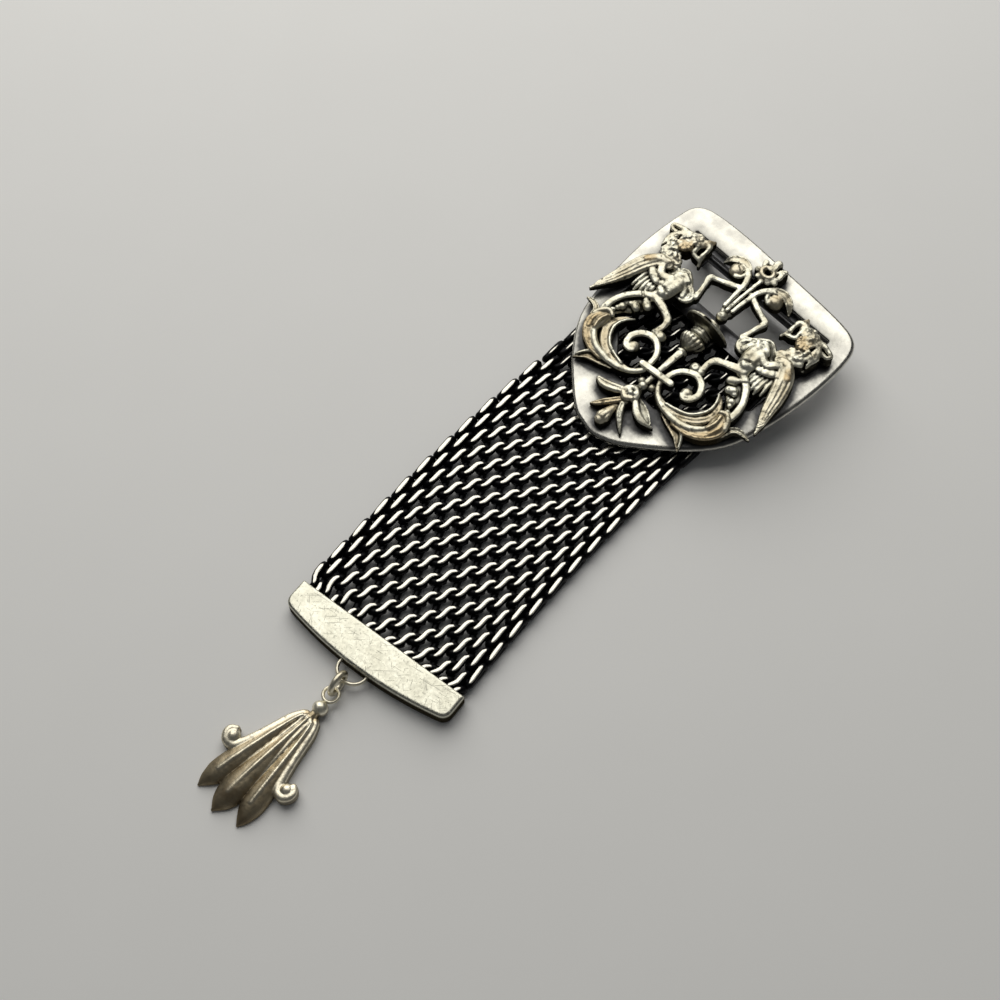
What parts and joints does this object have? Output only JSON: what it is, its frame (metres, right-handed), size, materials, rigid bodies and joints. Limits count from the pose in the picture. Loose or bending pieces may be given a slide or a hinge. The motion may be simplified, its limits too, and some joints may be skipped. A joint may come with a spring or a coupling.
{
  "type": "charm brooch",
  "caption": "Brooch with a pierced shield plate, an openwork crest of griffins and an urn, a woven metal ribbon, an end bar and a palmette drop on a jump ring.",
  "frame": {"origin": "centre of the whole brooch's box, on the surface that it lies on", "axes": "+Y is up when the brooch is worn, from the drop to the shield; +Z faces the viewer, away from the surface; +X is to the viewer's right"},
  "size_m": [0.0356, 0.109, 0.0095],
  "materials": {
    "plate": "pale antique silver with fine scratches and dark tarnish beside the relief",
    "crest": "antique silver cast relief with a yellow tint and blackened hollows",
    "hanger": "satin silver",
    "mesh": "blackened wire, polished bright on top",
    "bar": "pale scratched silver, darker and yellow on its edge",
    "ring": "dark antique brass",
    "drop": "antique brass with pale ridges and brown hollows",
    "pin": "satin grey metal"
  },
  "bodies": {
    "root": {"shield_plate": "plate", "griffin_crest": "crest", "mesh_hanger": "hanger", "mesh_band": "mesh", "end_bar": "bar", "jump_ring": "ring", "palmette_drop": "drop", "pin_back": "pin"}
  },
  "joints": []
}
